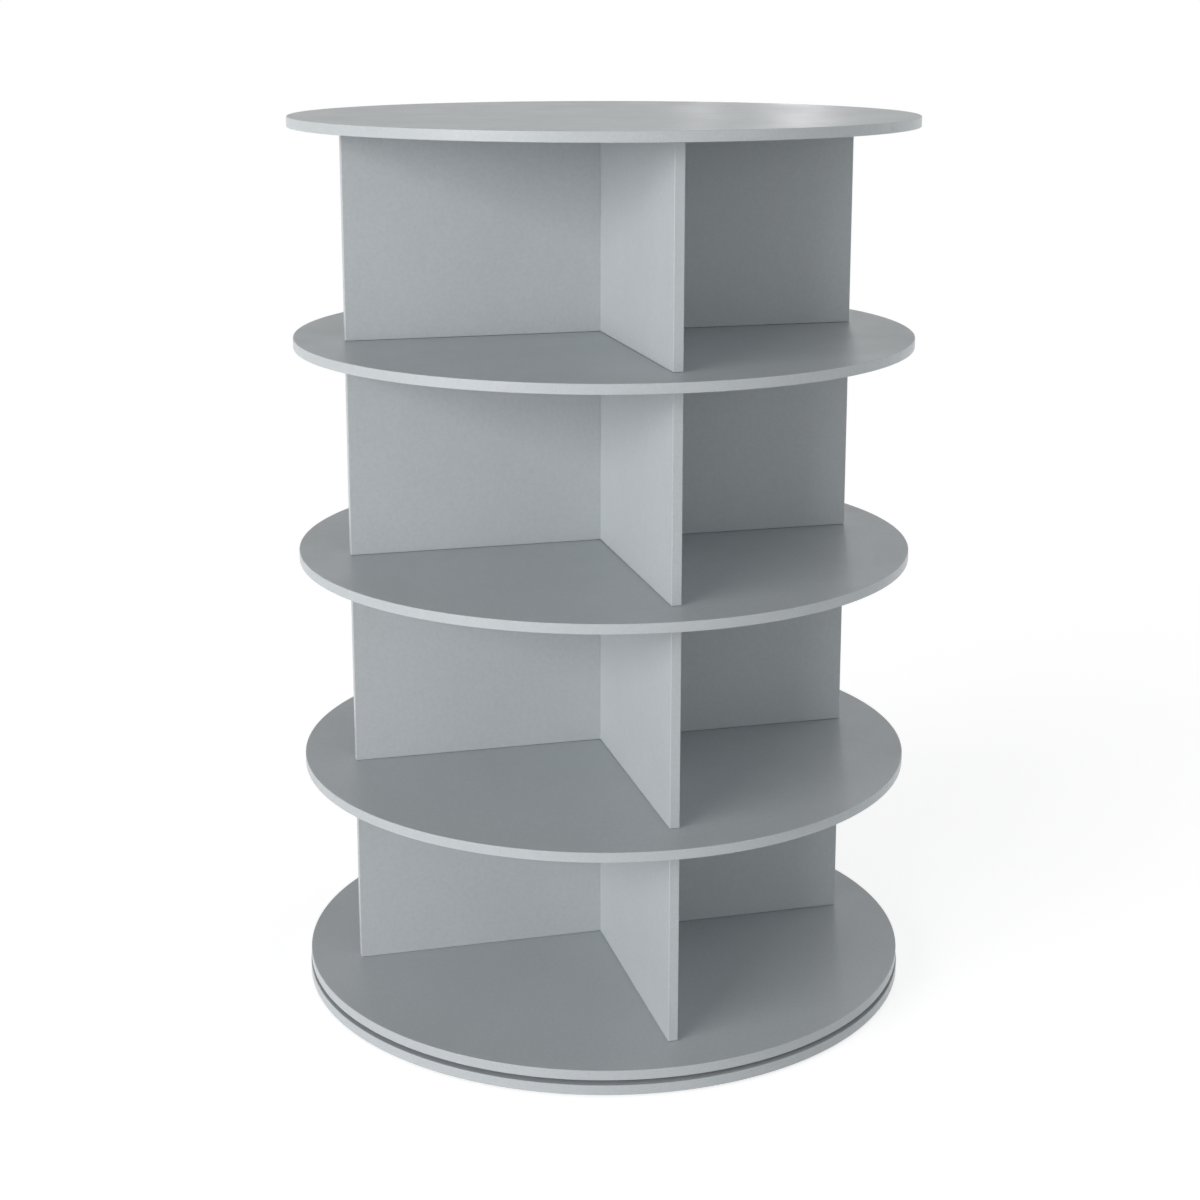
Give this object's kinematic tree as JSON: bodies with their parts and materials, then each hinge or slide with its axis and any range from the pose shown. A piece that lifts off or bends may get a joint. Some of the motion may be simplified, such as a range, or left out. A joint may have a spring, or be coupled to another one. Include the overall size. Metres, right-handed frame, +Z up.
{
  "type": "rotating shoe tower",
  "caption": "Round free-standing shoe tower whose tiers of open compartments turn together on a ball bearing ring over a fixed base board.",
  "frame": {"origin": "on the floor, on the axis that the tower turns about", "axes": "+Z up along the turning axis, +X along the across panels, +Y along the along panels; the picture looks in from the -Y side, turned a little to -X"},
  "size_m": [0.752, 0.752, 1.0752],
  "materials": {
    "board": "satin painted board",
    "pad": "matte",
    "bearing_ring": "extruded, satin",
    "bearing_cage": "moulded",
    "ball": "polished bearing steel",
    "screw": "zinc plated",
    "dowel": "bare beech"
  },
  "bodies": {
    "base": {"base_board": "board", "pad_1": "pad", "pad_2": "pad", "pad_3": "pad", "pad_4": "pad", "bearing_outer_ring": "bearing_ring", "outer_ring_screw_1": "screw", "outer_ring_screw_2": "screw", "outer_ring_screw_3": "screw"},
    "ball_cage": {"bearing_cage": "bearing_cage", "bearing_ball_01": "ball", "bearing_ball_02": "ball", "bearing_ball_03": "ball", "bearing_ball_04": "ball", "bearing_ball_05": "ball", "bearing_ball_06": "ball", "bearing_ball_07": "ball", "bearing_ball_08": "ball", "bearing_ball_09": "ball", "bearing_ball_10": "ball", "bearing_ball_11": "ball", "bearing_ball_12": "ball"},
    "tower": {"turntable_board": "board", "shelf_1": "board", "shelf_2": "board", "shelf_3": "board", "top_board": "board", "tier_1_across_panel": "board", "tier_1_along_panel": "board", "tier_2_across_panel": "board", "tier_2_along_panel": "board", "tier_3_across_panel": "board", "tier_3_along_panel": "board", "tier_4_across_panel": "board", "tier_4_along_panel": "board", "bearing_inner_ring": "bearing_ring", "inner_ring_screw_1": "screw", "inner_ring_screw_2": "screw", "inner_ring_screw_3": "screw", "cross_screw_1": "screw", "cross_screw_2": "screw", "cross_screw_3": "screw", "cross_screw_4": "screw", "dowel_1_1": "dowel", "dowel_1_2": "dowel", "dowel_1_3": "dowel", "dowel_1_4": "dowel", "dowel_2_1": "dowel", "dowel_2_2": "dowel", "dowel_2_3": "dowel", "dowel_2_4": "dowel", "dowel_3_1": "dowel", "dowel_3_2": "dowel", "dowel_3_3": "dowel", "dowel_3_4": "dowel", "top_dowel_1": "dowel", "top_dowel_2": "dowel", "top_dowel_3": "dowel", "top_dowel_4": "dowel"}
  },
  "joints": [
    {"name": "tower_spin", "type": "hinge", "parent": "base", "child": "tower", "pos_m": [0, 0, 0.01655], "axis": [0, 0, 1], "continuous": true},
    {"name": "cage_spin", "type": "hinge", "parent": "base", "child": "ball_cage", "pos_m": [0, 0, 0.01655], "axis": [0, 0, 1], "continuous": true}
  ],
  "couplings": [
    {"joint": "cage_spin", "follows": "tower_spin", "ratio": 0.5}
  ]
}
